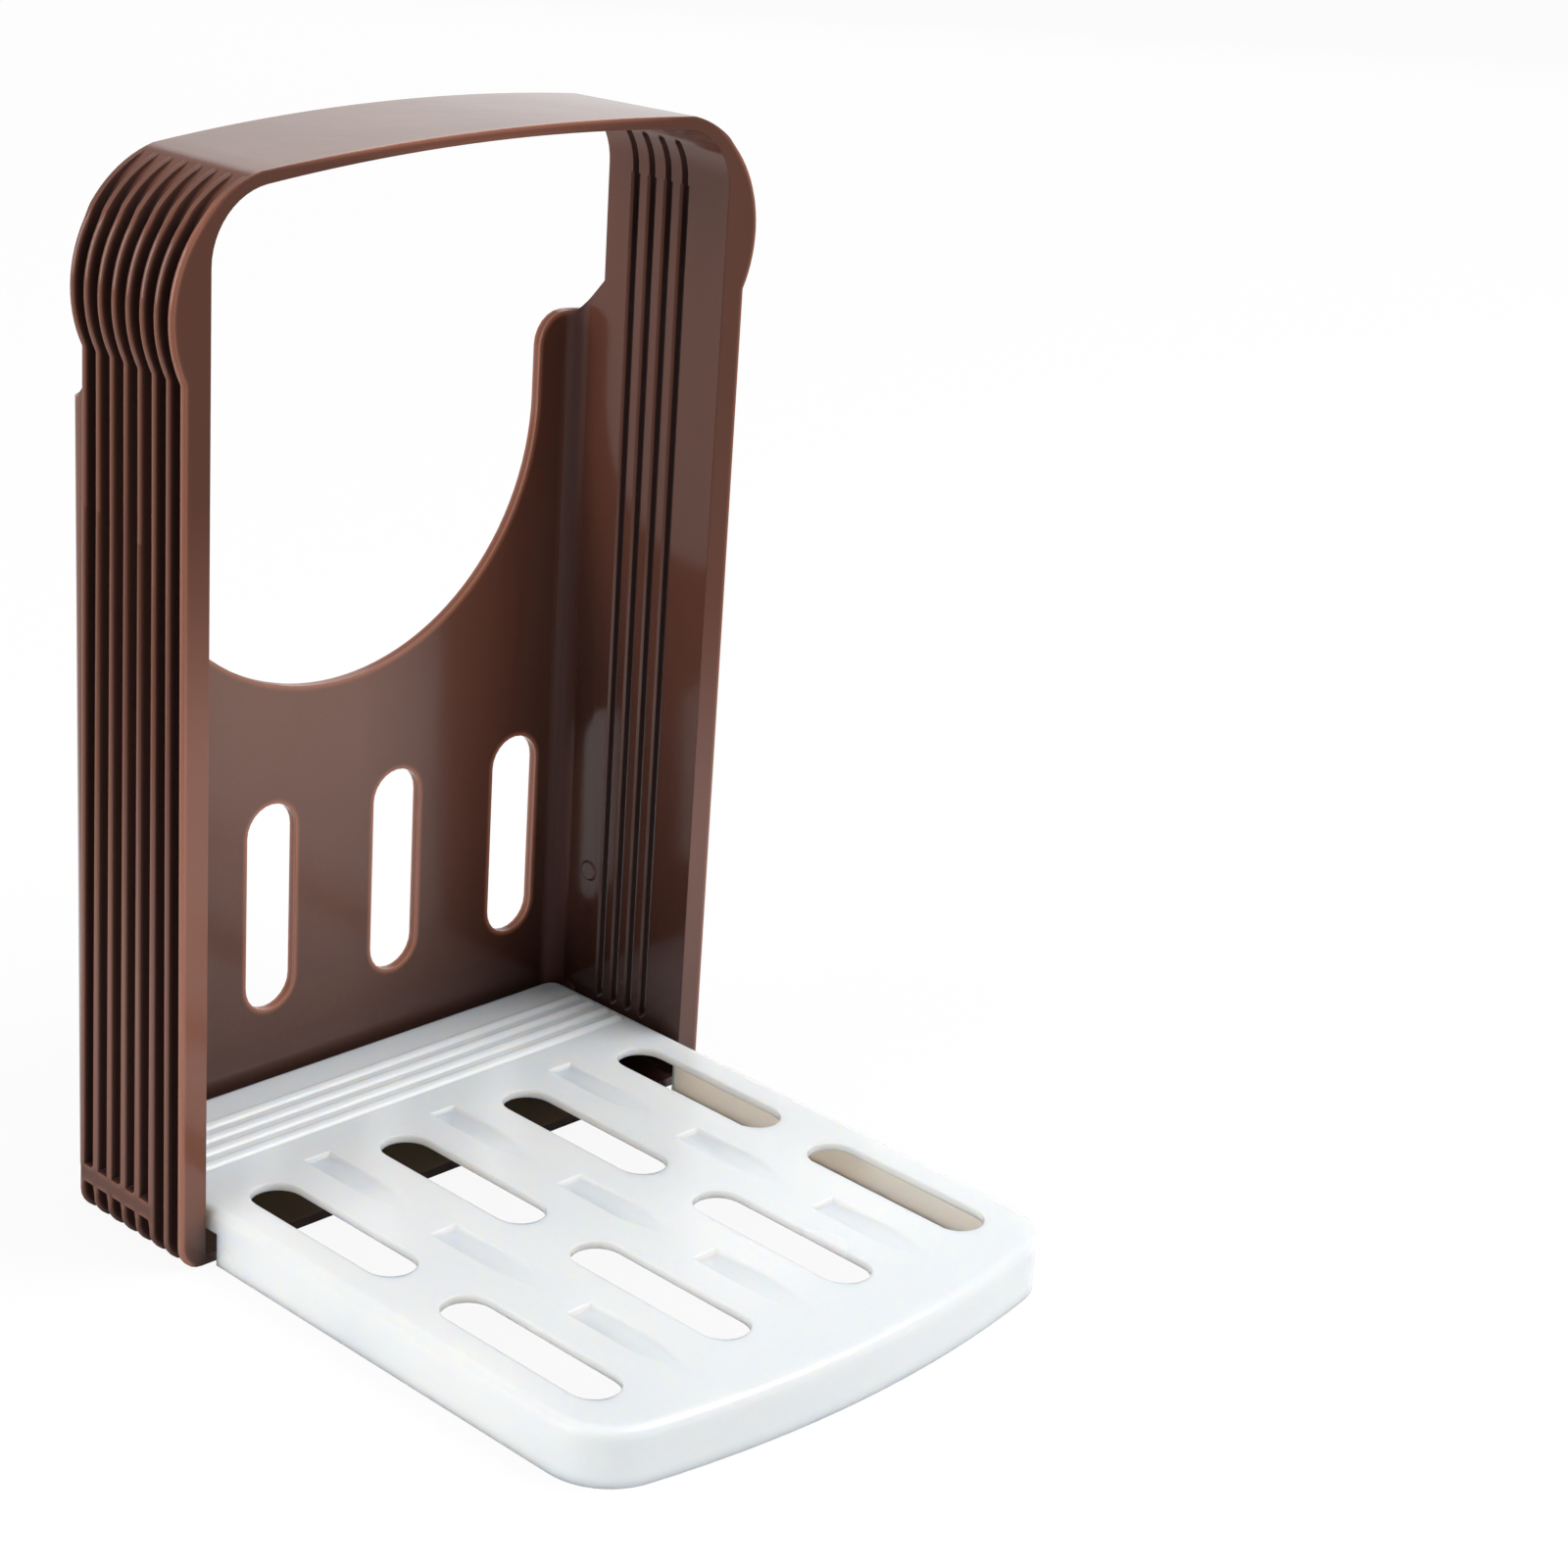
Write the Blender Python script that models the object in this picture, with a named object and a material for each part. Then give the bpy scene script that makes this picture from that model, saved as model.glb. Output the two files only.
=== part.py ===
"""Bread slicing guide: a finned arch frame with knife slots, and a bread tray that folds up into it.

Metres, +Z up. The tray's open end looks along -Y, X is across the guide, Z = 0 is the table.
Distances named "from the front" run back from the front face of the frame.
"""

import math

import bmesh
import bpy
from mathutils import Matrix, Vector

# Arch opening
INNER_HALF = 0.0700
INNER_TOP = 0.23435
INNER_TOP_R = 0.560
INNER_CORNER_R = 0.0150
WALL = 0.0022
FLOOR = 0.0022

# Outer outline of the arch
BAND = 0.00225
OUTER_TOP_R = 0.700
FIN_DEPTH = 0.0043
BULGE = 0.0030
BULGE_R = 0.0283
BULGE_OVER_TOP = 0.00045
FOOT_R = 0.0055
REAR_NARROWING = 0.00213
REAR_LOWERING = 0.0007
REAR_SHRINK = 0.0006

# Fins and the grooves between them
CREST = 0.0016
PITCH = 0.0050
CRESTS = 8
GROOVE_CORNER_R = 0.0172
GROOVE_REAR_DROP = 0.0013
GROOVE_EXIT = math.radians(55)
GROOVE_RUN_ON = 0.0010
TIE_LOW = 0.0080
TIE_HIGH = 0.0120
FIRST_TIED_GROOVE = 2

# Knife slots
KNIFE_SLOT = 0.0018
KNIFE_LIP = 0.0005
KNIFE_TOP_BELOW = 0.0083
KNIFE_BELOW_TRAY = 0.0006
KNIFE_GROOVES = (2, 3, 4, 5)

# Back of the frame
BACK_FACE = 0.0450
BACK_OUTER_R = 0.0070
BACK_TOP = 0.1810
SLOPE_RISE = 0.0083
SLOPE_START = 0.0035
CUTOUT_R = 0.0573
CUTOUT_Z = 0.1617
HORN_R = 0.0075
BACK_SLOT = 0.0137
BACK_SLOT_PITCH = 0.0363
BACK_SLOT_LOW = 0.0284
BACK_SLOT_HIGH = 0.0789

# Stow nubs on the inner walls
NUB_R = 0.0025
NUB_PROUD = 0.0008
NUB_FROM_FRONT = 0.0334
NUB_Z = 0.0443

# Tray
SIDE_GAP = 0.0015
REAR_GAP = 0.0019
TRAY_REACH = 0.1281
TRAY_FRONT_R = 0.280
TRAY_CORNER_R = 0.0155
TRAY_REAR_R = 0.0040
TRAY_TOP = 0.0129
TRAY_EDGE_R = 0.0024
PLATE = 0.0019
SKIN = 0.0018
RIM = 0.0054
SKIRT_START = 0.0018
TRAY_SLOT = 0.0120
SLOT_PITCH = 0.0360
SLOT_ROW_REAR = 0.0018
SLOT_LENGTH = 0.0492
SLOT_ROW_STEP = 0.0622
RIDGE_HEIGHT = 0.0009
RIDGE_R = 0.0020
RIDGE_END_GAP = 0.0023
SCOOP_HALF = 0.0036
SCOOP_DEPTH = 0.0010
SCOOP_LENGTH = 0.0340
SCOOP_REAR = 0.0050
SCOOP_ROW_STEP = 0.0425

# Hinge
PIVOT_Z = 0.0103
PIVOT_BEFORE_BACK = 0.0065
PIN_R = 0.0018
CLEAR = 0.0003
RUNNING = 0.00008
SHOULDER_R = 0.0029
BOSS_LENGTH = 0.0045
BOSS_HALF = 0.0033

# Sizes that follow from the ones above
OUTER_TOP = INNER_TOP + BAND
WALL_OUT = INNER_HALF + WALL
ARCH_HALF = WALL_OUT + FIN_DEPTH
ARCH_DEPTH = (CRESTS - 1) * PITCH + CREST
FRAME_DEPTH = BACK_FACE + WALL
SHIFT = (TRAY_REACH - FRAME_DEPTH) / 2
TRAY_HALF = INNER_HALF - SIDE_GAP
TRAY_REAR = BACK_FACE - REAR_GAP
PIVOT_Y = BACK_FACE - PIVOT_BEFORE_BACK
KNIFE_LOW = TRAY_TOP - KNIFE_BELOW_TRAY
KNIFE_TOP = INNER_TOP - KNIFE_TOP_BELOW
CUT = 0.010

ALONG_X = Matrix(((0, 0, 1, 0), (1, 0, 0, 0), (0, 1, 0, 0), (0, 0, 0, 1)))
ALONG_Y = Matrix(((1, 0, 0, 0), (0, 0, -1, 0), (0, 1, 0, 0), (0, 0, 0, 1)))
ALONG_Z = Matrix.Identity(4)


for old in list(bpy.data.objects):
    bpy.data.objects.remove(old, do_unlink=True)
for old in list(bpy.data.collections):
    bpy.data.collections.remove(old)

guide = bpy.data.collections.new("bread_slicing_guide")
cutters = bpy.data.collections.new("cutters")
cutters.hide_render = True
bpy.context.scene.collection.children.link(guide)
bpy.context.scene.collection.children.link(cutters)


def arc(cx, cy, radius, start, end, steps):
    """Points on a circle from one angle to another, both ends included."""
    points = []
    for i in range(steps + 1):
        angle = start + (end - start) * i / steps
        points.append((cx + radius * math.cos(angle), cy + radius * math.sin(angle)))
    return points


def mirrored(half):
    """A closed outline from its right half, which starts and ends near x = 0."""
    left = [(-x, y) for x, y in reversed(half) if x > 1e-6]
    return half + left


def corner_centre(cx, corner_r, centre_y, big_r):
    """Height of the centre of a corner arc that runs smoothly into a wide arc centred at x = 0."""
    reach = big_r - corner_r
    return centre_y + math.sqrt(reach * reach - cx * cx)


def prism(name, loops, low, high, along, where=cutters):
    """A solid made by extruding 2D outlines between two positions on an axis."""
    curve = bpy.data.curves.new(name + "_outline", "CURVE")
    curve.dimensions = "2D"
    curve.fill_mode = "BOTH"
    curve.extrude = (high - low) / 2
    for loop in loops:
        spline = curve.splines.new("POLY")
        spline.points.add(len(loop) - 1)
        for point, (x, y) in zip(spline.points, loop):
            point.co = (x, y, 0, 1)
        spline.use_cyclic_u = True
    drawn = bpy.data.objects.new(name + "_outline", curve)
    guide.objects.link(drawn)
    bpy.context.view_layer.update()
    graph = bpy.context.evaluated_depsgraph_get()
    mesh = bpy.data.meshes.new_from_object(drawn.evaluated_get(graph))
    bpy.data.objects.remove(drawn, do_unlink=True)
    bpy.data.curves.remove(curve)
    middle = (low + high) / 2
    if along is ALONG_X:
        place = Matrix.Translation((middle, SHIFT, 0))
    elif along is ALONG_Y:
        place = Matrix.Translation((0, middle + SHIFT, 0))
    else:
        place = Matrix.Translation((0, SHIFT, middle))
    mesh.transform(place @ along)
    return finish(name, mesh, where)


def finish(name, mesh, where):
    """Joins doubled points, turns the faces outwards and puts the mesh in a collection."""
    bm = bmesh.new()
    bm.from_mesh(mesh)
    bmesh.ops.remove_doubles(bm, verts=bm.verts, dist=1e-6)
    bmesh.ops.recalc_face_normals(bm, faces=bm.faces)
    bm.to_mesh(mesh)
    bm.free()
    mesh.name = name
    obj = bpy.data.objects.new(name, mesh)
    where.objects.link(obj)
    if where is cutters:
        obj.hide_render = True
        obj.display_type = "WIRE"
    return obj


def round_edges(obj, chosen, radius, segments):
    """Rounds the edges whose two ends both satisfy a test on their position."""
    bm = bmesh.new()
    bm.from_mesh(obj.data)
    bmesh.ops.dissolve_limit(bm, angle_limit=math.radians(0.1), verts=bm.verts, edges=bm.edges)
    picked = [edge for edge in bm.edges if chosen(edge.verts[0].co, edge.verts[1].co)]
    bmesh.ops.bevel(bm, geom=picked, offset=radius, offset_type="OFFSET", segments=segments,
                    profile=0.5, affect="EDGES", clamp_overlap=False)
    bmesh.ops.remove_doubles(bm, verts=bm.verts, dist=1e-6)
    bmesh.ops.recalc_face_normals(bm, faces=bm.faces)
    bm.to_mesh(obj.data)
    bm.free()


def rod(name, radius, y, z, x_low, x_high, steps=32, chamfer=0.0, where=cutters):
    """A cylinder along X."""
    bm = bmesh.new()
    bmesh.ops.create_cone(bm, cap_ends=True, segments=steps, radius1=radius, radius2=radius,
                          depth=x_high - x_low)
    if chamfer:
        rims = [edge for edge in bm.edges if abs(edge.verts[0].co.z - edge.verts[1].co.z) < 1e-9]
        bmesh.ops.bevel(bm, geom=rims, offset=chamfer, offset_type="OFFSET", segments=1,
                        profile=0.5, affect="EDGES")
    mesh = bpy.data.meshes.new(name)
    bm.to_mesh(mesh)
    bm.free()
    mesh.transform(Matrix.Translation(((x_low + x_high) / 2, y + SHIFT, z)) @ ALONG_X)
    return finish(name, mesh, where)


def joined(name, pieces, where=cutters):
    """One object from several that don't touch."""
    bm = bmesh.new()
    for piece in pieces:
        bm.from_mesh(piece.data)
        old = piece.data
        bpy.data.objects.remove(piece, do_unlink=True)
        bpy.data.meshes.remove(old)
    mesh = bpy.data.meshes.new(name)
    bm.to_mesh(mesh)
    bm.free()
    return finish(name, mesh, where)


def both_sides(name, make):
    """The same piece made on the right, x > 0, and mirrored on the left."""
    right = make(name + "_right")
    mesh = right.data.copy()
    mesh.transform(Matrix.Scale(-1, 4, Vector((1, 0, 0))))
    mesh.flip_normals()
    left = finish(name + "_left", mesh, cutters)
    return [right, left]


def boolean(obj, other, operation):
    modifier = obj.modifiers.new(operation.lower() + "_" + other.name, "BOOLEAN")
    modifier.operation = operation
    modifier.solver = "EXACT"
    modifier.object = other


def stadium(cx, low, high, width, steps=12):
    """An upright slot outline with round ends."""
    r = width / 2
    return arc(cx, high - r, r, 0, math.pi, steps) + arc(cx, low + r, r, math.pi, 2 * math.pi, steps)


def material(name, colour, roughness, metallic):
    made = bpy.data.materials.new(name)
    made.use_nodes = True
    shader = made.node_tree.nodes["Principled BSDF"]
    shader.inputs["Base Color"].default_value = (*colour, 1)
    shader.inputs["Roughness"].default_value = roughness
    shader.inputs["Metallic"].default_value = metallic
    made.diffuse_color = (*colour, 1)
    return made


def dress(obj, look):
    obj.data.materials.clear()
    obj.data.materials.append(look)
    obj.data.shade_smooth()
    obj.data.set_sharp_from_angle(angle=math.radians(30))


# Outline of the whole arch at its front face
top_centre = OUTER_TOP - OUTER_TOP_R
apart = OUTER_TOP_R - BULGE_R + BULGE_OVER_TOP
bulge_x = ARCH_HALF + BULGE - BULGE_R
bulge_z = top_centre + math.sqrt(apart ** 2 - bulge_x ** 2)
kink = math.asin(-math.sqrt(BULGE_R ** 2 - (ARCH_HALF - bulge_x) ** 2) / BULGE_R)
along_line = (OUTER_TOP_R ** 2 - BULGE_R ** 2 + apart ** 2) / (2 * apart)
off_line = math.sqrt(OUTER_TOP_R ** 2 - along_line ** 2)
line_x = bulge_x / apart
line_z = (bulge_z - top_centre) / apart
meet_x = along_line * line_x + off_line * line_z
meet_z = top_centre + along_line * line_z - off_line * line_x
meet_bulge = math.atan2(meet_z - bulge_z, meet_x - bulge_x)
meet_top = math.atan2(meet_z - top_centre, meet_x)

arch_right = arc(ARCH_HALF - FOOT_R, FOOT_R, FOOT_R, -math.pi / 2, 0, 6)
arch_right += arc(bulge_x, bulge_z, BULGE_R, kink, meet_bulge, 26)
arch_right += arc(0, top_centre, OUTER_TOP_R, meet_top, math.pi / 2, 10)[1:]
arch = prism("slicing_frame", [mirrored(arch_right)], 0, ARCH_DEPTH, ALONG_Y, guide)
kink_z = bulge_z + BULGE_R * math.sin(kink)
for vertex in arch.data.vertices:
    if vertex.co.y > SHIFT + ARCH_DEPTH / 2:
        side_x = abs(vertex.co.x)
        if side_x < meet_x - 1e-6:
            vertex.co.z -= REAR_SHRINK * math.sin(meet_bulge) * (side_x / meet_x) ** 2
        elif vertex.co.z > kink_z - 1e-6:
            centre = Vector((math.copysign(bulge_x, vertex.co.x), vertex.co.y, bulge_z))
            vertex.co += (centre - vertex.co) * REAR_SHRINK / BULGE_R
        vertex.co.z *= 1 - REAR_LOWERING / OUTER_TOP

# Back of the frame, joined to the arch and running forward inside it
slope_y = FRAME_DEPTH - SLOPE_START
slope_ahead = (slope_y - ARCH_DEPTH) * 2
side = [
    (ARCH_DEPTH / 2, 0),
    (FRAME_DEPTH, 0),
    (FRAME_DEPTH, BACK_TOP),
    (slope_y, BACK_TOP),
    (slope_y - slope_ahead, BACK_TOP + SLOPE_RISE * 2),
    (ARCH_DEPTH / 2, BACK_TOP + SLOPE_RISE * 2),
]
back = prism("back", [side], -WALL_OUT, WALL_OUT, ALONG_X)


def back_edge(a, b):
    rear = SHIFT + FRAME_DEPTH - 1e-6
    upright = abs(a.x - b.x) < 1e-6 and a.y > rear and b.y > rear
    along_foot = a.z < 1e-6 and b.z < 1e-6 and abs(a.x - b.x) < 1e-6
    rear_foot = a.z < 1e-6 and b.z < 1e-6 and a.y > rear and b.y > rear
    return upright or along_foot or rear_foot


round_edges(back, back_edge, BACK_OUTER_R, 8)
boolean(arch, back, "UNION")

# Opening between the walls, from the floor to the arch's ceiling
ceiling = INNER_TOP - INNER_TOP_R
corner_x = INNER_HALF - INNER_CORNER_R
corner_z = corner_centre(corner_x, INNER_CORNER_R, ceiling, INNER_TOP_R)
corner_end = math.atan2(corner_z - ceiling, corner_x)
opening_right = [(INNER_HALF, FLOOR)]
opening_right += arc(corner_x, corner_z, INNER_CORNER_R, 0, corner_end, 12)
opening_right += arc(0, ceiling, INNER_TOP_R, corner_end, math.pi / 2, 10)[1:]
opening = prism("opening", [mirrored(opening_right)], -CUT, BACK_FACE, ALONG_Y)


def opening_edge(a, b):
    rear = SHIFT + BACK_FACE - 1e-6
    return a.y > rear and b.y > rear


round_edges(opening, opening_edge, BACK_OUTER_R - WALL, 6)
boolean(arch, opening, "DIFFERENCE")

# Grooves between the fins, closed near the foot by a flush tie behind the second one
far = ARCH_HALF + CUT
groove_x = WALL_OUT - GROOVE_CORNER_R
exit_run = GROOVE_CORNER_R * math.cos(GROOVE_EXIT) + GROOVE_RUN_ON
exit_rise = exit_run / math.tan(GROOVE_EXIT)
grooves = []
for i in range(CRESTS - 1):
    start = i * PITCH + CREST
    end = (i + 1) * PITCH
    centre_z = corner_z - GROOVE_REAR_DROP * (start + end) / 2 / ARCH_DEPTH
    low = TIE_HIGH if i >= FIRST_TIED_GROOVE else -CUT
    outline = [(WALL_OUT, low)]
    outline += arc(groove_x, centre_z, GROOVE_CORNER_R, 0, GROOVE_EXIT, 14)
    top_x, top_z = outline[-1]
    outline += [
        (top_x - exit_run, top_z + exit_rise),
        (top_x - exit_run, OUTER_TOP + CUT),
        (far, OUTER_TOP + CUT),
        (far, low),
    ]
    grooves += both_sides("groove", lambda name: prism(name, [outline], start, end, ALONG_Y))
    if i >= FIRST_TIED_GROOVE:
        pocket = [(WALL_OUT, -CUT), (WALL_OUT, TIE_LOW), (far, TIE_LOW), (far, -CUT)]
        grooves += both_sides("pocket", lambda name: prism(name, [pocket], start, end, ALONG_Y))
boolean(arch, joined("grooves", grooves), "DIFFERENCE")

# Knife slots through the walls, each at the bottom of a groove, with a widened lip inside
knives = []
lips = []
for i in KNIFE_GROOVES:
    middle = (i + 0.5) * PITCH + CREST / 2
    outline = stadium(middle, KNIFE_LOW, KNIFE_TOP, KNIFE_SLOT, 8)
    knives += both_sides("knife", lambda name: prism(name, [outline], corner_x, far, ALONG_X))
    half = KNIFE_SLOT / 2
    inside = INNER_HALF - KNIFE_LIP
    deep = INNER_HALF + KNIFE_LIP + half / 2
    lip = [
        (inside, middle - half - 2 * KNIFE_LIP),
        (deep, middle - half / 2),
        (deep, middle + half / 2),
        (inside, middle + half + 2 * KNIFE_LIP),
    ]
    lip_low = KNIFE_LOW + half
    lip_high = corner_z - half
    lips += both_sides("lip", lambda name: prism(name, [lip], lip_low, lip_high, ALONG_Z))
boolean(arch, joined("knife_slots", knives), "DIFFERENCE")
boolean(arch, joined("knife_lips", lips), "DIFFERENCE")

# Taper: the walls lean in towards the rear, more so towards the top
cage_data = bpy.data.lattices.new("frame_taper")
cage_data.points_u = cage_data.points_v = cage_data.points_w = 2
for axis in "uvw":
    setattr(cage_data, "interpolation_type_" + axis, "KEY_LINEAR")
cage = bpy.data.objects.new("frame_taper", cage_data)
cutters.objects.link(cage)
cage.hide_render = True
cage.location = (0, SHIFT + FRAME_DEPTH / 2, OUTER_TOP / 2)
cage.scale = (2 * far, FRAME_DEPTH, OUTER_TOP)
for point in cage_data.points:
    if point.co.y > 0 and point.co.z > 0:
        point.co_deform.x *= 1 - REAR_NARROWING / INNER_HALF * FRAME_DEPTH / BACK_FACE
plain = arch.modifiers.new("triangles", "TRIANGULATE")
plain.quad_method = "BEAUTY"
bend = arch.modifiers.new("frame_taper", "LATTICE")
bend.object = cage

# Round cut-out in the top of the back, with a horn on each side
cutout_right = arc(0, CUTOUT_Z, CUTOUT_R, -math.pi / 2, 0, 28)
cutout_right += arc(CUTOUT_R + HORN_R, BACK_TOP - HORN_R, HORN_R, math.pi, math.pi / 2, 6)
cutout_right += [(CUTOUT_R + HORN_R, BACK_TOP + CUT), (0, BACK_TOP + CUT)]
cutout = prism("cutout", [mirrored(cutout_right)], ARCH_DEPTH + WALL, FRAME_DEPTH + CUT, ALONG_Y)
boolean(arch, cutout, "DIFFERENCE")

# Slots in the back
slots = []
for i in range(4):
    x = (i - 1.5) * BACK_SLOT_PITCH
    outline = stadium(x, BACK_SLOT_LOW, BACK_SLOT_HIGH, BACK_SLOT)
    slots.append(prism("back_slot", [outline], BACK_FACE - WALL, FRAME_DEPTH + CUT, ALONG_Y))
boolean(arch, joined("back_slots", slots), "DIFFERENCE")

# Stow nubs and the bores for the hinge pins
nub_low = INNER_HALF - NUB_PROUD
nubs = both_sides("nub", lambda name: rod(name, NUB_R, NUB_FROM_FRONT, NUB_Z, nub_low,
                                          INNER_HALF + WALL / 2, 24, NUB_PROUD / 2))
boolean(arch, joined("nubs", nubs), "UNION")
bores = both_sides("bore", lambda name: rod(name, PIN_R + RUNNING, PIVOT_Y, PIVOT_Z,
                                            INNER_HALF - WALL, WALL_OUT + WALL))
boolean(arch, joined("frame_bores", bores), "DIFFERENCE")


# Tray: a shell with a full skirt in front of the frame and only a low rim inside it
def tray_outline(inset):
    """The tray's plan, moved inwards by a distance."""
    half = TRAY_HALF - inset
    front_r = TRAY_FRONT_R - inset
    corner_r = TRAY_CORNER_R - inset
    rear_r = TRAY_REAR_R - inset
    centre = TRAY_FRONT_R - TRAY_REACH
    cx = half - corner_r
    reach = front_r - corner_r
    cy = centre - math.sqrt(reach * reach - cx * cx)
    turn = math.atan2(cy - centre, cx)
    right = arc(0, centre, front_r, -math.pi / 2, turn, 8)
    right += arc(cx, cy, corner_r, turn, 0, 12)[1:]
    right += arc(half - rear_r, TRAY_REAR - inset - rear_r, rear_r, 0, math.pi / 2, 5)
    return mirrored(right)


tray = prism("slicing_tray", [tray_outline(0)], 0, TRAY_TOP, ALONG_Z, guide)
round_edges(tray, lambda a, b: min(a.z, b.z) > TRAY_TOP - 1e-6, TRAY_EDGE_R, 5)
pocket = prism("tray_hollow", [tray_outline(SKIN)], -CUT, TRAY_TOP - PLATE, ALONG_Z)
boolean(tray, pocket, "DIFFERENCE")

boss_out = TRAY_HALF - SKIN / 2
boss_in = TRAY_HALF - SKIN - BOSS_LENGTH
boss = [
    (boss_in, PIVOT_Y - BOSS_HALF),
    (boss_out, PIVOT_Y - BOSS_HALF),
    (boss_out, PIVOT_Y + BOSS_HALF),
    (boss_in, PIVOT_Y + BOSS_HALF),
]
boss_low = TRAY_TOP - RIM - SKIN
boss_high = TRAY_TOP - PLATE / 2
bosses = both_sides("boss", lambda name: prism(name, [boss], boss_low, boss_high, ALONG_Z))
boolean(tray, joined("hinge_bosses", bosses), "UNION")

under = [
    (-SKIRT_START, -CUT),
    (BACK_FACE + CUT, -CUT),
    (BACK_FACE + CUT, TRAY_TOP - RIM),
    (-SKIRT_START, TRAY_TOP - RIM),
]
boolean(tray, prism("tray_step", [under], -far, far, ALONG_X), "DIFFERENCE")

# Long slots in the tray
tray_slots = []
for i in range(4):
    for row in range(2):
        high = SLOT_ROW_REAR - row * SLOT_ROW_STEP
        outline = stadium((i - 1.5) * SLOT_PITCH, high - SLOT_LENGTH, high, TRAY_SLOT)
        tray_slots.append(prism("slot", [outline], -CUT, TRAY_TOP + CUT, ALONG_Z))
boolean(tray, joined("tray_slots", tray_slots), "DIFFERENCE")

# Ridges across the tray, one behind each knife slot
ridges = []
for i in KNIFE_GROOVES:
    y = (i + 1) * PITCH + CREST / 2
    bm = bmesh.new()
    bmesh.ops.create_uvsphere(bm, u_segments=20, v_segments=9, radius=RIDGE_R)
    reach = TRAY_HALF - RIDGE_END_GAP - RIDGE_R
    for vertex in bm.verts:
        vertex.co.z += math.copysign(reach, vertex.co.z)
    ridge_mesh = bpy.data.meshes.new("ridge")
    bm.to_mesh(ridge_mesh)
    bm.free()
    height = TRAY_TOP + RIDGE_HEIGHT - RIDGE_R
    ridge_mesh.transform(Matrix.Translation((0, y + SHIFT, height)) @ ALONG_X)
    for vertex in ridge_mesh.vertices:
        vertex.co.z = max(vertex.co.z, TRAY_TOP - PLATE / 2)
    ridges.append(finish("ridge", ridge_mesh, cutters))
boolean(tray, joined("tray_ridges", ridges), "UNION")

# Shallow pointed scoops between the slots, deepest at the rear
scoops = []
for i in range(3):
    for row in range(3):
        x = (i - 1) * SLOT_PITCH
        rear = SCOOP_REAR - row * SCOOP_ROW_STEP
        neck = rear - SCOOP_LENGTH * 0.62
        tip = rear - SCOOP_LENGTH
        floor_half = SCOOP_HALF - SCOOP_DEPTH
        corners = []
        for lift in (0, SCOOP_DEPTH):
            for side_x in (-SCOOP_HALF, SCOOP_HALF):
                corners += [(x + side_x, rear, lift), (x + side_x, neck, lift)]
            corners.append((x, tip, lift))
        for side_x in (-floor_half, floor_half):
            corners.append((x + side_x, rear - SCOOP_DEPTH / 2, -SCOOP_DEPTH))
            corners.append((x + side_x, neck, -SCOOP_DEPTH * 0.45))
        bm = bmesh.new()
        for cx, cy, lift in corners:
            bm.verts.new((cx, cy + SHIFT, TRAY_TOP + lift))
        bmesh.ops.convex_hull(bm, input=bm.verts)
        scoop_mesh = bpy.data.meshes.new("scoop")
        bm.to_mesh(scoop_mesh)
        bm.free()
        scoops.append(finish("scoop", scoop_mesh, cutters))
boolean(tray, joined("tray_scoops", scoops), "DIFFERENCE")

sockets = both_sides("socket", lambda name: rod(name, PIN_R + RUNNING, PIVOT_Y, PIVOT_Z,
                                                boss_in - CUT / 5, INNER_HALF))
boolean(tray, joined("tray_sockets", sockets), "DIFFERENCE")

pivot = Vector((0, PIVOT_Y + SHIFT, PIVOT_Z))
tray.data.transform(Matrix.Translation(-pivot))
tray.location = pivot

# Hinge pins, each with a shoulder that keeps the tray off the wall
pins = both_sides("hinge_pin", lambda name: rod(name, PIN_R, PIVOT_Y, PIVOT_Z, boss_in + CLEAR,
                                                WALL_OUT - CLEAR, 32, CLEAR))
shoulders = both_sides("shoulder", lambda name: rod(name, SHOULDER_R, PIVOT_Y, PIVOT_Z,
                                                    TRAY_HALF + CLEAR,
                                                    INNER_HALF - CLEAR))
for pin, shoulder in zip(pins, shoulders):
    cutters.objects.unlink(pin)
    guide.objects.link(pin)
    pin.hide_render = False
    pin.display_type = "TEXTURED"
    boolean(pin, shoulder, "UNION")

brown = material("brown_gloss_plastic", (0.095, 0.044, 0.031), 0.22, 0.0)
white = material("white_gloss_plastic", (0.80, 0.80, 0.79), 0.28, 0.0)
pin_brown = material("pin_brown_plastic", (0.080, 0.038, 0.028), 0.30, 0.0)
dress(arch, brown)
dress(tray, white)
for pin in pins:
    dress(pin, pin_brown)
bpy.context.view_layer.update()
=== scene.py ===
"""Looks of the bread slicing guide: glossy brown arch frame, glossy white tray, pale studio."""

import math

import bpy
from mathutils import Matrix, Vector

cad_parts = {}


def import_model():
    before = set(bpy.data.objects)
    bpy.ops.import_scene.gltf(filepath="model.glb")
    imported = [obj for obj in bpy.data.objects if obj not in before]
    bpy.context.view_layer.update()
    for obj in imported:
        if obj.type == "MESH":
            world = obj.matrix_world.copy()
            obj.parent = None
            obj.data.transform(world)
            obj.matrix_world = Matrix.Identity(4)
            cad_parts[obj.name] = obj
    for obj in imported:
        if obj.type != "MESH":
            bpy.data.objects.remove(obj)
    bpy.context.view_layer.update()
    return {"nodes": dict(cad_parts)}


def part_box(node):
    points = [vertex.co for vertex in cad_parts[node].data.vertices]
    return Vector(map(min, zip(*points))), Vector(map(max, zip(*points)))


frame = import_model()
frame_low, frame_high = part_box("slicing_frame")

# Lengths are in metres, angles in degrees, powers in watts, and colours linear.
# A range is four numbers: from low, from high, to low, to high.
# A noise is its scale, its detail, and its stretch along X, Y and Z.
# A bump is its strength and its height.

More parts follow.
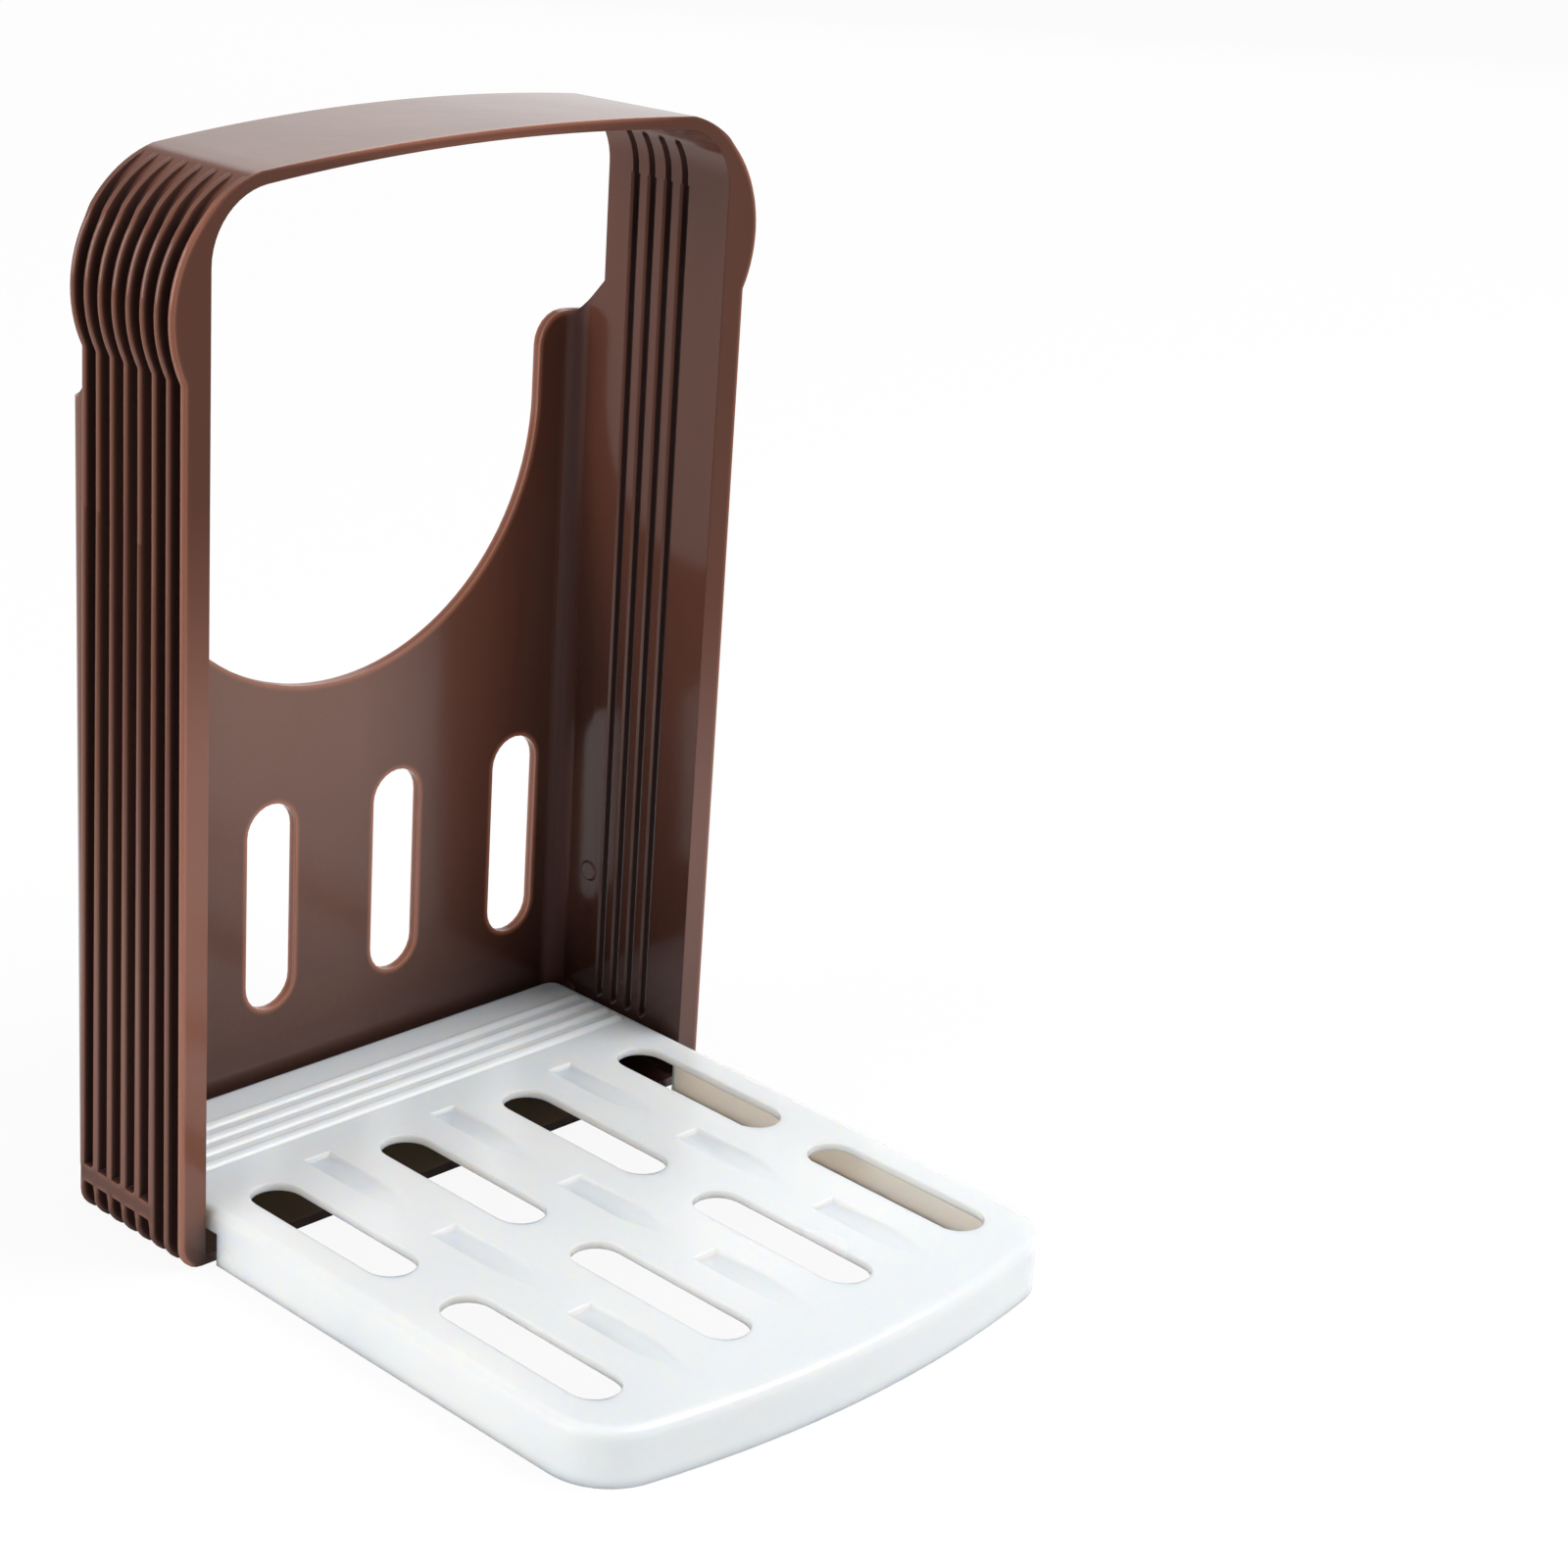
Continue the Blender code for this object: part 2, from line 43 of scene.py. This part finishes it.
# Camera, fitted to the photograph's edges
CAMERA_PLACE = (-0.477326, -0.495891, 0.378396)
CAMERA_AZIMUTH = -47.143
CAMERA_ELEVATION = 21.346
CAMERA_ROLL = 3.995
CAMERA_CLIP = (0.01, 50.0)
LENS_MM = 81.22
SENSOR_MM = 36.0

# Side walls behind the grooves: their outer face, their top corner, and how they draw in.
# At full height the half width shrinks by this share for each metre of depth.
WALL_OUT = 0.0722
GROOVE_CORNER_R = 0.0172
GROOVE_CORNER_Z = 0.2164
REAR_LEAN = 0.2

# Rounding of the fins' crests. An edge is a crest if it is sharp, lies well above the groove's floor
# and far enough to the side, and stays in one row.
CREST_ROUND = 0.0007
CREST_SEGMENTS = 3
CREST_ANGLE = 50
LEAST_FIN = 0.0016
FINS_START = 0.059
SAME_ROW = 0.0001

# Mesh finish: how near points are joined, how flat a face counts as one, and which edges stay sharp
WELD_REACH = 1e-6
WHOLE_FACE_ANGLE = 0.12
SHARP_ANGLE = 34
NORMAL_WEIGHT = 60

# Both plastics
PLASTIC_IOR = 1.50
CLOUD_SPAN = (0.3, 0.7)
OPENNESS_SAMPLES = 8
EDGE_SAMPLES = 6

# Brown plastic: two tones, gloss and surface
BROWN = (0.160, 0.061, 0.040)
BROWN_DEEP = (0.126, 0.046, 0.030)
FLOW_NOISE = (28.0, 3.0, (1, 1, 0.18))
FLOW_RANGE = (0.35, 0.65, 0.0, 1.0)
BROWN_CLOUD_NOISE = (9.0, 1.5, (1, 1, 1))
BROWN_CLOUD_TONES = (0.15, 0.55)
BROWN_ROUGHNESS = (0.12, 0.18)
PIN_ROUGHNESS = (0.24, 0.30)
BROWN_EDGE_SOFTNESS = 0.0003
BROWN_RIPPLE_NOISE = (60.0, 2.0, (1, 1, 0.35))
BROWN_RIPPLE_BUMP = (0.04, 0.002)
BROWN_GRAIN_NOISE = (950.0, 2.0, (1, 1, 1))
BROWN_GRAIN_BUMP = (0.03, 0.0004)

# Brown plastic inside the arch and in its grooves: painted shade, deeper where less of the surroundings is
# open
BROWN_INSIDE_SHADE = (0.034, 0.014, 0.011)
INSIDE_SHADE_REACH = 0.150
INSIDE_SHADE_RANGE = (0.28, 0.72, 1.0, 0.0)
BROWN_HOLLOW_SHADE = (0.052, 0.027, 0.024)
HOLLOW_SHADE_REACH = 0.006
HOLLOW_SHADE_RANGE = (0.25, 0.75, 1.0, 0.0)

# Painted glow on the brown plastic's thin edges: full on the front and the back, fainter on the fins
BROWN_EDGE_GLOW_PAINT = (0.480, 0.190, 0.120)
EDGE_GLOW_REACH = 0.0015
EDGE_GLOW_RANGE = (0.60, 0.95, 0.82, 0.0)
GLOW_DEPTH = 0.0025
FIN_GLOW = 0.30
OUTER_RIM = (0.0002, 0.0022, 0.0, 1.0)

# Back plate: painted light as if it came through on the left, and more so higher up, but its outer face
# stays as it is
BROWN_THIN_PAINTED_LIGHT = (0.270, 0.135, 0.100)
THIN_LIGHT_ACROSS = (0.006, 0.030, 1.0, 0.0)
THIN_LIGHT_UP = (0.03, 0.11, 0.25, 0.65)
OUTER_SKIN = 0.00125

# Front face: painted shade, deeper in colour higher up, and painted warm light low on the left
FRONT_SKIN = 0.0005
BROWN_FRONT_SHADE = (0.055, 0.017, 0.009)
FRONT_SHADE_UP = (0.05, 0.17, 0.0, 0.32)
BROWN_FRONT_LIGHT = (0.340, 0.125, 0.075)
FRONT_LIGHT_ACROSS = (-0.02, 0.02, 1.0, 0.0)
FRONT_LIGHT_UP = (0.12, 0.17, 0.5, 0.0)

# Painted shade in the inner round between the back plate and a side wall: its centre across and before the
# rear, how far it reaches from there, and how it fades in
BROWN_NOOK_SHADE = (0.058, 0.014, 0.009)
NOOK_ACROSS = 0.0652
NOOK_BEFORE_REAR = 0.0070
NOOK_REACH = 0.0059
NOOK_FADE = (0.0, 0.0025, 0.0, 1.0)
NOOK_ROUGHER = 0.45

# White plastic: tones, painted shade in hollows, gloss and surface, and how far light scatters in it
WHITE = (0.925, 0.908, 0.878)
WHITE_SHADE = (0.895, 0.878, 0.850)
WHITE_CLOUD_NOISE = (11.0, 2.0, (1, 1, 1))
WHITE_CLOUD_TONES = (0.0, 1.0)
WHITE_HOLLOW_SHADE = (0.790, 0.745, 0.715)
WHITE_HOLLOW_SHADE_REACH = 0.003
WHITE_HOLLOW_SHADE_RANGE = (0.55, 0.95, 1.0, 0.0)
WHITE_ROUGHNESS = (0.20, 0.28)
WHITE_SCATTER = (0.0060, 0.0044, 0.0030)
WHITE_EDGE_SOFTNESS = 0.0006
WHITE_RIPPLE_NOISE = (45.0, 1.5, (1, 1, 1))
WHITE_RIPPLE_BUMP = (0.03, 0.002)
WHITE_GRAIN_NOISE = (1100.0, 2.0, (1, 1, 1))
WHITE_GRAIN_BUMP = (0.02, 0.0004)

# Floor: a painted pool of light, white round the object, darker from there on, and lighter behind it than
# in front.
# The camera sees it pale all over, mostly by its own light, so that the object's shadow stays faint.
FLOOR_SIZE = 8.0
FLOOR_BELOW = 0.0002
FLOOR_LIT = (0.92, 0.92, 0.92)
LIT_POOL = (0.22, 0.38, 0.0, 1.0)
FLOOR_FRONT = (0.240, 0.235, 0.230)
FLOOR_REAR = (0.600, 0.590, 0.580)
REAR_ROWS = (0.0, 0.3, 0.0, 1.0)
FLOOR_SEEN = (0.90, 0.90, 0.90)
SEEN_GLOW = 0.92

# World: soft light, a little dimmer and warmer from above
PLAIN_WHITE = (1, 1, 1, 1)
SKY_LOW = (1.0, 0.99, 0.98)
SKY_HIGH = (0.90, 0.89, 0.875)
SKY_RISE = (0.0, 0.9, 0.0, 1.0)
SKY_STRENGTH = 0.42

# Lamps: name, place, the point it looks at, size, power
LAMPS = (
    ("key", (0.81, -0.81, 1.62), (0, 0, 0.1), (1.2, 1.2), 31.0),
    ("left", (-1.10, 0.35, 0.50), (0, 0.03, 0.1), (0.8, 0.8), 7.8),
    ("back", (1.10, 1.13, 0.52), (0, 0, 0.2), (1.5, 0.9), 2.8),
)

# Sockets of Blender's Mix node when it mixes colours
MIX_FACTOR = 0
MIX_COLOURS = (6, 7)
MIX_RESULT = 2


def new_material(name):
    """An empty node material with its tree and its output."""
    made = bpy.data.materials.new(name)
    made.use_nodes = True
    tree = made.node_tree
    tree.nodes.clear()
    return made, tree, tree.nodes.new("ShaderNodeOutputMaterial")


def add(tree, kind, **values):
    """A node with some of its sockets or settings set."""
    node = tree.nodes.new(kind)
    for key, value in values.items():
        name = key.replace("_", " ")
        found = [socket for socket in node.inputs if socket.name.lower() == name]
        if found:
            found[0].default_value = value
        else:
            setattr(node, key, value)
    return node


def sums(tree, operation, *values):
    """The result of a Math node on sockets and numbers."""
    node = add(tree, "ShaderNodeMath", operation=operation)
    for into, value in zip(node.inputs, values):
        if isinstance(value, (int, float)):
            into.default_value = value
        else:
            tree.links.new(value, into)
    return node.outputs[0]


def product(tree, first, *others):
    """The product of two or more values."""
    for other in others:
        first = sums(tree, "MULTIPLY", first, other)
    return first


def distance(tree, across, along):
    """The length of a flat vector."""
    squares = (sums(tree, "MULTIPLY", way, way) for way in (across, along))
    return sums(tree, "SQRT", sums(tree, "ADD", *squares))


def parts(tree, place):
    """The X, Y and Z of a place."""
    split = add(tree, "ShaderNodeSeparateXYZ")
    tree.links.new(place, split.inputs[0])
    return split.outputs


def noise(tree, place, scale, detail, stretch):
    """A noise pattern, from 0 to 1."""
    mapping = add(tree, "ShaderNodeMapping", scale=stretch)
    tree.links.new(place, mapping.inputs["Vector"])
    made = add(tree, "ShaderNodeTexNoise", scale=scale, detail=detail)
    tree.links.new(mapping.outputs["Vector"], made.inputs["Vector"])
    return made.outputs["Fac"]


def ranged(tree, value, low, high, to_low, to_high):
    """A value carried from one range to another, and held at its ends."""
    made = add(tree, "ShaderNodeMapRange", from_min=low, from_max=high, to_min=to_low, to_max=to_high)
    tree.links.new(value, made.inputs["Value"])
    return made.outputs["Result"]


def mixed(tree, factor, first, second):
    """A colour between two others, each a socket or three numbers."""
    made = tree.nodes.new("ShaderNodeMix")
    made.data_type = "RGBA"
    for index, value in zip(MIX_COLOURS, (first, second)):
        if isinstance(value, tuple):
            made.inputs[index].default_value = (*value, 1)
        else:
            tree.links.new(value, made.inputs[index])
    tree.links.new(factor, made.inputs[MIX_FACTOR])
    return made.outputs[MIX_RESULT]


def blended(tree, output, factor, first, second):
    """Joins a mix of two shaders to the output."""
    made = add(tree, "ShaderNodeMixShader")
    for into, value in zip(made.inputs, (factor, first, second)):
        tree.links.new(value, into)
    tree.links.new(made.outputs["Shader"], output.inputs["Surface"])


def openness(tree, reach, inside=False):
    """How free the surface is within a reach: outwards, or inwards through the material."""
    made = add(tree, "ShaderNodeAmbientOcclusion", samples=OPENNESS_SAMPLES, inside=inside, distance=reach)
    return made.outputs["AO"]


def bumped(tree, normal, height, strength, rise):
    """A normal with a height pattern on it."""
    made = add(tree, "ShaderNodeBump", strength=strength, distance=rise)
    tree.links.new(height, made.inputs["Height"])
    tree.links.new(normal, made.inputs["Normal"])
    return made.outputs["Normal"]


def softened(tree, radius):
    """The surface's normal, rounded across its edges."""
    return add(tree, "ShaderNodeBevel", samples=EDGE_SAMPLES, radius=radius).outputs["Normal"]


def shaded(tree, output, colour, roughness, normal, **values):
    """Joins a plastic's shader to its colour, roughness and normal, and to the output."""
    shader = add(tree, "ShaderNodeBsdfPrincipled", ior=PLASTIC_IOR, **values)
    tree.links.new(colour, shader.inputs["Base Color"])
    tree.links.new(roughness, shader.inputs["Roughness"])
    tree.links.new(normal, shader.inputs["Normal"])
    tree.links.new(shader.outputs["BSDF"], output.inputs["Surface"])


def above_grooves(tree, x, row, height):
    """How far a point stands out of the fins' grooves, and how far across it lies with no lean."""
    lean = product(tree, sums(tree, "SUBTRACT", row, frame_low.y), height, REAR_LEAN / frame_high.z)
    across = sums(tree, "DIVIDE", sums(tree, "ABSOLUTE", x), sums(tree, "SUBTRACT", 1.0, lean))
    side = sums(tree, "MAXIMUM", sums(tree, "SUBTRACT", across, WALL_OUT - GROOVE_CORNER_R), 0.0)
    up = sums(tree, "MAXIMUM", sums(tree, "SUBTRACT", height, GROOVE_CORNER_Z), 0.0)
    return sums(tree, "SUBTRACT", distance(tree, side, up), GROOVE_CORNER_R), across


def inner_corner(tree, across, row):
    """Marks the inner round between the back plate and the side walls."""
    side = sums(tree, "SUBTRACT", across, NOOK_ACROSS)
    deep = sums(tree, "SUBTRACT", row, frame_high.y - NOOK_BEFORE_REAR)
    fades = (ranged(tree, way, *NOOK_FADE) for way in (side, deep))
    near = sums(tree, "LESS_THAN", distance(tree, side, deep), NOOK_REACH)
    return product(tree, *fades, near)


def brown_plastic(name, roughness):
    """Glossy chocolate plastic: painted glow stands for light through its thin edges, and painted shade
    keeps its corners deep.
    """
    made, tree, output = new_material(name)
    place = add(tree, "ShaderNodeTexCoord").outputs["Object"]
    cloud = noise(tree, place, *BROWN_CLOUD_NOISE)
    x, row, height = parts(tree, place)
    proud, across = above_grooves(tree, x, row, height)
    front, rear = frame_low.y, frame_high.y
    on_front = ranged(tree, row, front, front + FRONT_SKIN, 1.0, 0.0)
    on_back = ranged(tree, row, rear - 2 * GLOW_DEPTH, rear - GLOW_DEPTH, 0.0, 1.0)
    colour = mixed(tree, ranged(tree, noise(tree, place, *FLOW_NOISE), *FLOW_RANGE), BROWN_DEEP, BROWN)
    colour = mixed(tree, ranged(tree, cloud, *CLOUD_SPAN, *BROWN_CLOUD_TONES), colour, BROWN)
    # Painted light on the back plate's inner face, on the left and higher up
    not_outer = ranged(tree, row, rear - OUTER_SKIN, rear, 1.0, 0.0)
    painted_thin_light = product(tree, ranged(tree, x, *THIN_LIGHT_ACROSS), ranged(tree, height, *THIN_LIGHT_UP))
    colour = mixed(tree, product(tree, on_back, not_outer, painted_thin_light), colour, BROWN_THIN_PAINTED_LIGHT)
    # Painted shade on the front face, deeper higher up
    painted_front_shade = product(tree, on_front, ranged(tree, height, *FRONT_SHADE_UP))
    colour = mixed(tree, painted_front_shade, colour, BROWN_FRONT_SHADE)
    # Painted warm light on the front face, low on the left
    painted_front_light = product(tree, on_front, ranged(tree, x, *FRONT_LIGHT_ACROSS), ranged(tree, height, *FRONT_LIGHT_UP))
    colour = mixed(tree, painted_front_light, colour, BROWN_FRONT_LIGHT)
    # Painted shade inside the arch, where little of the surroundings is open
    inside = ranged(tree, openness(tree, INSIDE_SHADE_REACH), *INSIDE_SHADE_RANGE)
    colour = mixed(tree, inside, colour, BROWN_INSIDE_SHADE)
    # Painted shade in small hollows, grooves and creases
    hollow_shade = ranged(tree, openness(tree, HOLLOW_SHADE_REACH), *HOLLOW_SHADE_RANGE)
    colour = mixed(tree, hollow_shade, colour, BROWN_HOLLOW_SHADE)
    # Painted glow on thin convex edges, standing for light through them
    edge = ranged(tree, openness(tree, EDGE_GLOW_REACH, inside=True), *EDGE_GLOW_RANGE)
    fading = ranged(tree, row, front, front + GLOW_DEPTH, 1.0, FIN_GLOW)
    ahead = product(tree, fading, ranged(tree, proud, *OUTER_RIM))
    edge = product(tree, edge, sums(tree, "MAXIMUM", ahead, on_back))
    colour = mixed(tree, edge, colour, BROWN_EDGE_GLOW_PAINT)
    # Painted shade in the inner round between the back plate and a side wall, which is also rougher there
    nook = inner_corner(tree, across, row)
    colour = mixed(tree, nook, colour, BROWN_NOOK_SHADE)
    rougher = product(tree, nook, NOOK_ROUGHER)
    satin = sums(tree, "ADD", ranged(tree, cloud, *CLOUD_SPAN, *roughness), rougher)
    normal = softened(tree, BROWN_EDGE_SOFTNESS)
    normal = bumped(tree, normal, noise(tree, place, *BROWN_RIPPLE_NOISE), *BROWN_RIPPLE_BUMP)
    normal = bumped(tree, normal, noise(tree, place, *BROWN_GRAIN_NOISE), *BROWN_GRAIN_BUMP)
    shaded(tree, output, colour, satin, normal)
    return made


def white_plastic(name):
    """Glossy white plastic that lets some light through."""
    made, tree, output = new_material(name)
    place = add(tree, "ShaderNodeTexCoord").outputs["Object"]
    cloud = noise(tree, place, *WHITE_CLOUD_NOISE)
    colour = mixed(tree, ranged(tree, cloud, *CLOUD_SPAN, *WHITE_CLOUD_TONES), WHITE_SHADE, WHITE)
    # Painted shade in the tray's hollows and scoops
    hollow_shade = ranged(tree, openness(tree, WHITE_HOLLOW_SHADE_REACH), *WHITE_HOLLOW_SHADE_RANGE)
    colour = mixed(tree, hollow_shade, colour, WHITE_HOLLOW_SHADE)
    roughness = ranged(tree, cloud, *CLOUD_SPAN, *WHITE_ROUGHNESS)
    normal = softened(tree, WHITE_EDGE_SOFTNESS)
    normal = bumped(tree, normal, noise(tree, place, *WHITE_RIPPLE_NOISE), *WHITE_RIPPLE_BUMP)
    normal = bumped(tree, normal, noise(tree, place, *WHITE_GRAIN_NOISE), *WHITE_GRAIN_BUMP)
    scatter = {"subsurface_weight": 1.0, "subsurface_radius": WHITE_SCATTER, "subsurface_scale": 1.0}
    shaded(tree, output, colour, roughness, normal, **scatter)
    return made


def crest_edges(name):
    """Marks the long edges of the fins' crests for a bevel, away from the grooves' shallow ends."""
    tree = bpy.data.node_groups.new(name, "GeometryNodeTree")
    for way in ("INPUT", "OUTPUT"):
        tree.interface.new_socket("Geometry", in_out=way, socket_type="NodeSocketGeometry")
    ends = tree.nodes.new("GeometryNodeInputMeshEdgeVertices")
    points = [parts(tree, ends.outputs[end]) for end in ("Position 1", "Position 2")]
    heights, places = zip(*(above_grooves(tree, *point) for point in points))
    rows = (row for _, row, _ in points)
    angle = tree.nodes.new("GeometryNodeInputMeshEdgeAngle")
    sharp = sums(tree, "GREATER_THAN", angle.outputs["Unsigned Angle"], math.radians(CREST_ANGLE))
    proud = sums(tree, "GREATER_THAN", sums(tree, "MINIMUM", *heights), LEAST_FIN)
    fins = sums(tree, "GREATER_THAN", sums(tree, "MINIMUM", *places), FINS_START)
    level = sums(tree, "LESS_THAN", sums(tree, "ABSOLUTE", sums(tree, "SUBTRACT", *rows)), SAME_ROW)
    store = add(tree, "GeometryNodeStoreNamedAttribute", data_type="FLOAT", domain="EDGE")
    store.inputs["Name"].default_value = "bevel_weight_edge"
    tree.links.new(product(tree, sharp, proud, fins, level), store.inputs["Value"])
    start = tree.nodes.new("NodeGroupInput")
    end = tree.nodes.new("NodeGroupOutput")
    tree.links.new(start.outputs[0], store.inputs["Geometry"])
    tree.links.new(store.outputs[0], end.inputs[0])
    return tree


def round_crests(obj):
    """Rounds the fins' crests."""
    whole = obj.modifiers.new("whole_faces", "DECIMATE")
    whole.decimate_type = "DISSOLVE"
    whole.angle_limit = math.radians(WHOLE_FACE_ANGLE)
    marks = obj.modifiers.new("crest_edges", "NODES")
    marks.node_group = crest_edges("crest_edges")
    bevel = obj.modifiers.new("round_crests", "BEVEL")
    bevel.limit_method = "WEIGHT"
    bevel.width = CREST_ROUND
    bevel.segments = CREST_SEGMENTS
    bevel.use_clamp_overlap = False


def dress(node, look, shape=None):
    """Gives a CAD node its material and smooth shading on its round faces alone."""
    obj = frame["nodes"][node]
    obj.data.materials.clear()
    obj.data.materials.append(look)
    weld = obj.modifiers.new("weld", "WELD")
    weld.merge_threshold = WELD_REACH
    if shape:
        shape(obj)
    obj.data.shade_smooth()
    split = obj.modifiers.new("sharp_edges", "EDGE_SPLIT")
    split.split_angle = math.radians(SHARP_ANGLE)
    even = obj.modifiers.new("even_normals", "WEIGHTED_NORMAL")
    even.mode = "FACE_AREA_WITH_ANGLE"
    even.weight = NORMAL_WEIGHT
    even.keep_sharp = True


def floor():
    """The floor under the object."""
    bpy.ops.mesh.primitive_plane_add(size=FLOOR_SIZE, location=(0, 0, -FLOOR_BELOW))
    plane = bpy.context.object
    plane.name = "floor"
    made, tree, output = new_material("pale_floor")
    seen = add(tree, "ShaderNodeLightPath").outputs["Is Camera Ray"]
    place = add(tree, "ShaderNodeTexCoord").outputs["Object"]
    away = add(tree, "ShaderNodeVectorMath", operation="LENGTH")
    tree.links.new(place, away.inputs[0])
    _, row, _ = parts(tree, place)
    # Painted light on the floor: lighter behind the object than in front, and white near it
    far = mixed(tree, ranged(tree, row, *REAR_ROWS), FLOOR_FRONT, FLOOR_REAR)
    colour = mixed(tree, ranged(tree, away.outputs["Value"], *LIT_POOL), FLOOR_LIT, far)
    colour = mixed(tree, seen, colour, FLOOR_SEEN)
    paint = add(tree, "ShaderNodeBsdfDiffuse")
    tree.links.new(colour, paint.inputs["Color"])
    glow = add(tree, "ShaderNodeEmission", color=PLAIN_WHITE, strength=1.0)
    shown = product(tree, seen, SEEN_GLOW)
    blended(tree, output, shown, paint.outputs["BSDF"], glow.outputs["Emission"])
    plane.data.materials.append(made)


def world():
    """Soft white light from all round. The camera sees plain white."""
    made = bpy.data.worlds.new("studio")
    bpy.context.scene.world = made
    made.use_nodes = True
    tree = made.node_tree
    tree.nodes.clear()
    output = tree.nodes.new("ShaderNodeOutputWorld")
    _, _, height = parts(tree, add(tree, "ShaderNodeTexCoord").outputs["Generated"])
    sky = mixed(tree, ranged(tree, height, *SKY_RISE), SKY_LOW, SKY_HIGH)
    light = add(tree, "ShaderNodeBackground", strength=SKY_STRENGTH)
    tree.links.new(sky, light.inputs["Color"])
    plain = add(tree, "ShaderNodeBackground", color=PLAIN_WHITE, strength=1.0)
    seen = add(tree, "ShaderNodeLightPath").outputs["Is Camera Ray"]
    blended(tree, output, seen, light.outputs["Background"], plain.outputs["Background"])


def softbox(name, place, aim, size, power):
    """A rectangular lamp that looks at a point."""
    data = bpy.data.lights.new(name, "AREA")
    data.shape = "RECTANGLE"
    data.size, data.size_y = size
    data.energy = power
    lamp = bpy.data.objects.new(name, data)
    bpy.context.scene.collection.objects.link(lamp)
    lamp.location = place
    lamp.rotation_euler = (Vector(aim) - Vector(place)).to_track_quat("-Z", "Y").to_euler()


def camera():
    """The photograph's view."""
    angles = (CAMERA_AZIMUTH, CAMERA_ELEVATION, CAMERA_ROLL)
    azimuth, elevation, roll = (math.radians(angle) for angle in angles)
    level = Vector((math.cos(azimuth), math.sin(azimuth), 0.0))
    forward = Vector((-math.sin(azimuth), math.cos(azimuth), 0.0))
    ahead = math.cos(elevation) * forward + Vector((0.0, 0.0, -math.sin(elevation)))
    upright = level.cross(ahead)
    right = math.cos(roll) * level + math.sin(roll) * upright
    up = -math.sin(roll) * level + math.cos(roll) * upright
    data = bpy.data.cameras.new("photo_view")
    data.sensor_width = SENSOR_MM
    data.sensor_fit = "AUTO"
    data.lens = LENS_MM
    data.clip_start, data.clip_end = CAMERA_CLIP
    obj = bpy.data.objects.new("photo_view", data)
    bpy.context.scene.collection.objects.link(obj)
    turn = Matrix((right, up, -ahead)).transposed().to_4x4()
    obj.matrix_world = Matrix.Translation(CAMERA_PLACE) @ turn
    bpy.context.scene.camera = obj


dress("slicing_frame", brown_plastic("brown_gloss_plastic", BROWN_ROUGHNESS), round_crests)
dress("slicing_tray", white_plastic("white_gloss_plastic"))
pin_brown = brown_plastic("pin_brown_plastic", PIN_ROUGHNESS)
dress("hinge_pin_left", pin_brown)
dress("hinge_pin_right", pin_brown)

floor()
world()
for lamp in LAMPS:
    softbox(*lamp)
camera()
bpy.context.scene.view_settings.view_transform = "Standard"
